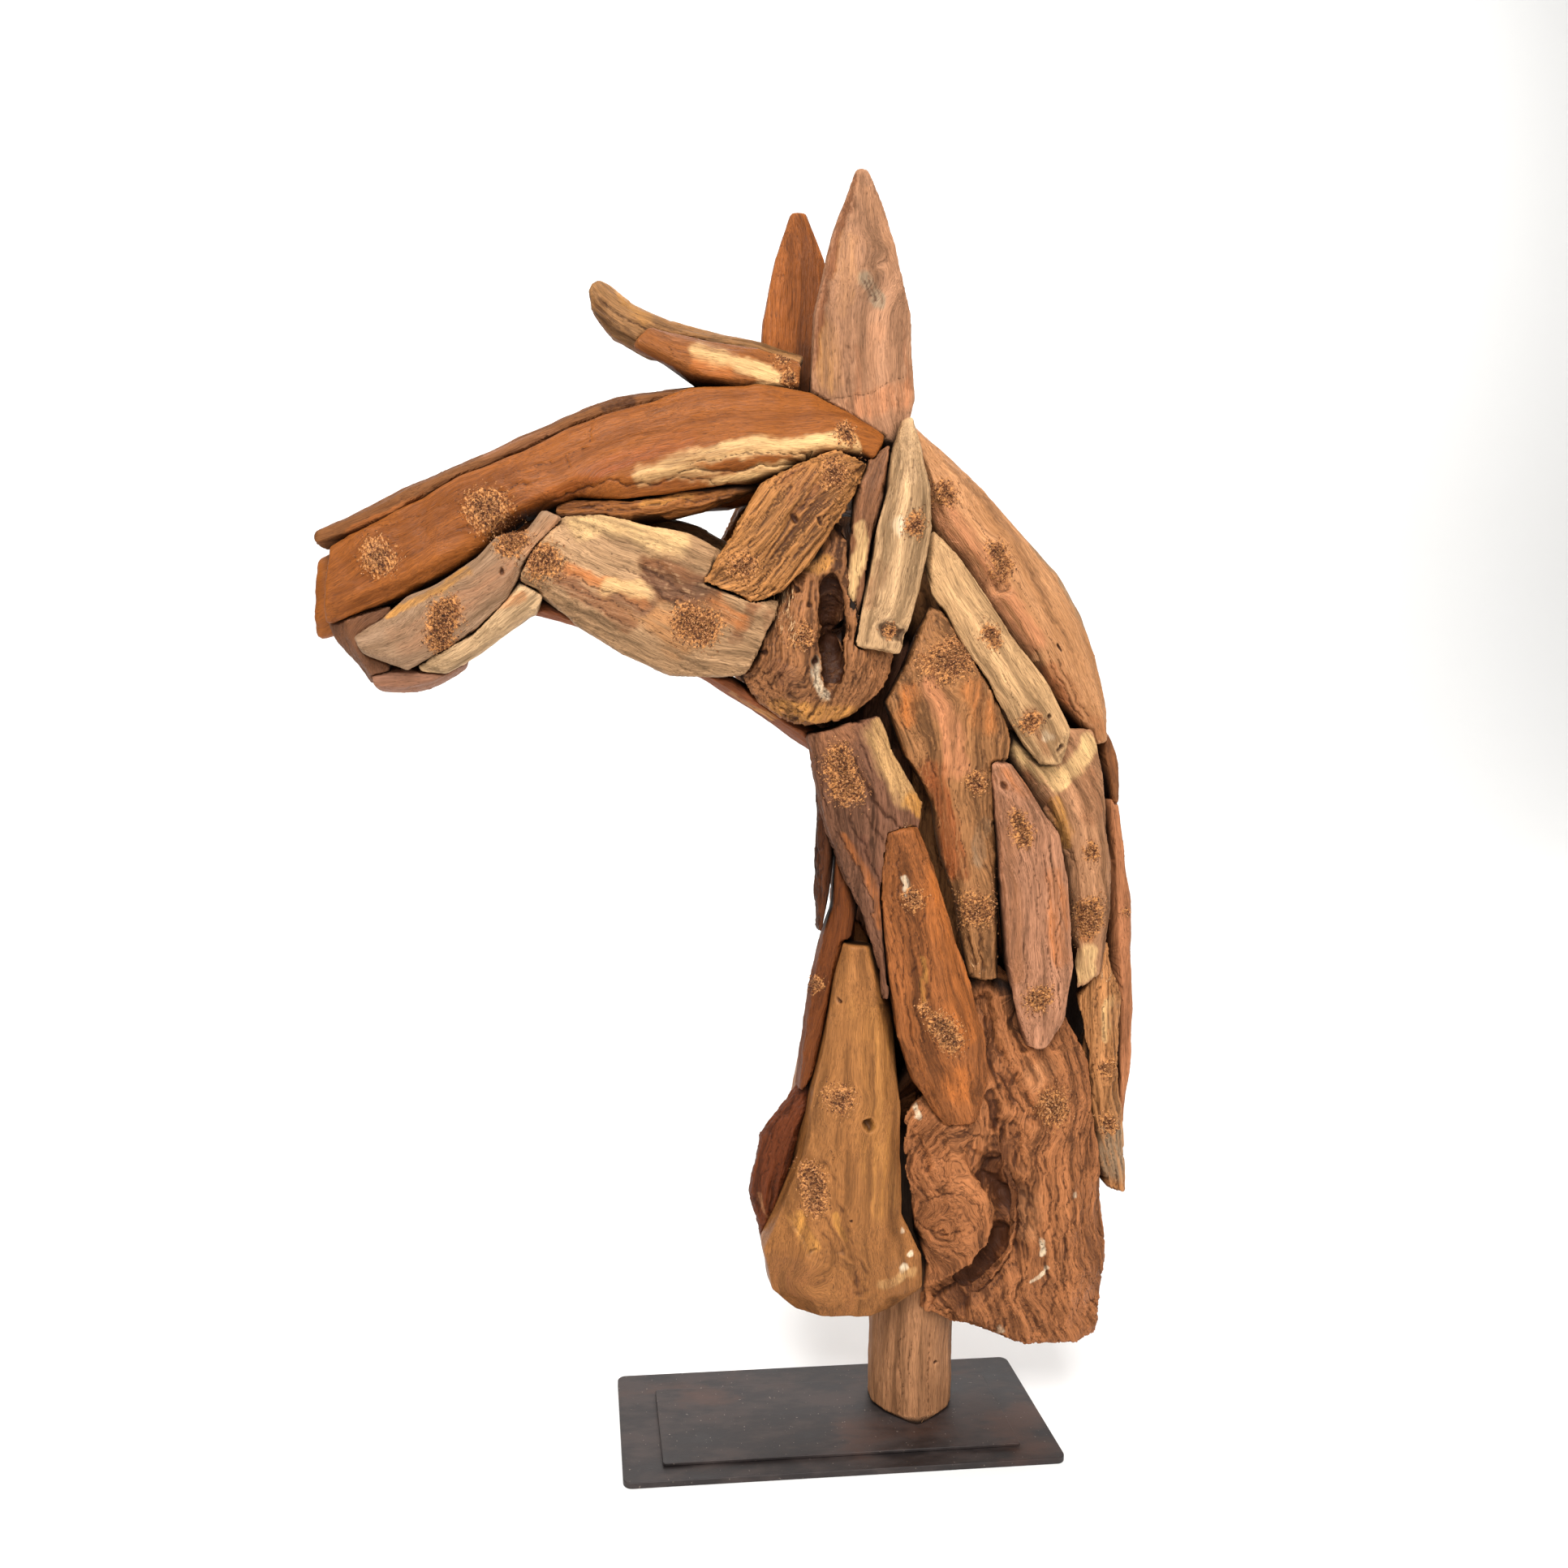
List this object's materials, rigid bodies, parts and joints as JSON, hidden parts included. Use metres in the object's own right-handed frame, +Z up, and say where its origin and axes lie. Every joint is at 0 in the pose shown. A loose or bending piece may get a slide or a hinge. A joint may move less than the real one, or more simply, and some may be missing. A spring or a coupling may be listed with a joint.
{
  "type": "horse head sculpture",
  "caption": "Horse's head and arched neck built of split and weathered teak driftwood pieces, carried by a round wooden post on a flat rectangular iron base.",
  "frame": {"origin": "centre of the underside of the iron base plate", "axes": "+Z up along the post, +X from the muzzle towards the back of the neck, so the horse looks along -X; the near side of the head faces -Y"},
  "size_m": [0.6374, 0.149, 0.973],
  "materials": {
    "orange_teak": "oiled heartwood, smooth with dark grain streaks",
    "golden_teak": "golden heartwood, worn smooth, hand cut facets",
    "red_teak": "reddish heartwood, coarse weathered grain",
    "pink_teak": "pinkish sawn board, dry matt",
    "brown_teak": "dark brown weathered wood",
    "grey_teak": "grey-brown driftwood, silvered and ribbed",
    "pale_teak": "pale sapwood, dry and cracked",
    "black_iron": "blackened iron plate with faint rust"
  },
  "bodies": {
    "root": {"base_plate": "black_iron", "top_plate": "black_iron", "cheek_stick": "pale_teak", "cheek_plank": "golden_teak", "brow_plank": "orange_teak", "cheek_block": "pale_teak", "lip_piece": "grey_teak", "front_block": "golden_teak", "neck_red_plank": "red_teak", "temple_blade": "brown_teak", "neck_pink_board": "pink_teak", "neck_pale_strip": "pale_teak", "throat_branch": "grey_teak", "neck_wide_piece": "red_teak", "neck_back_branch": "grey_teak", "jowl": "golden_teak", "mane_plank": "orange_teak", "post": "golden_teak", "root_block": "red_teak", "brow_strip": "brown_teak", "chin_piece": "pale_teak", "near_ear": "pink_teak", "forelock_lower": "orange_teak", "forelock_upper": "orange_teak", "nose_strip": "grey_teak", "jaw_strip": "red_teak", "lower_lip": "red_teak", "muzzle_front": "brown_teak", "far_ear": "orange_teak", "front_strip": "brown_teak", "throat_stick": "brown_teak", "front_slab": "brown_teak", "back_splinter": "golden_teak", "back_strip_upper": "orange_teak", "back_strip_lower": "red_teak", "far_brow_plank": "orange_teak", "far_cheek_block": "pale_teak", "far_lip_piece": "grey_teak", "far_cheek_plank": "golden_teak", "far_cheek_stick": "pale_teak", "far_red_plank": "red_teak", "far_jowl": "golden_teak", "far_mane_plank": "orange_teak", "far_front_block": "golden_teak", "far_root_block": "red_teak", "far_throat_board": "brown_teak", "far_neck_board": "red_teak", "far_back_board": "orange_teak"}
  },
  "joints": []
}
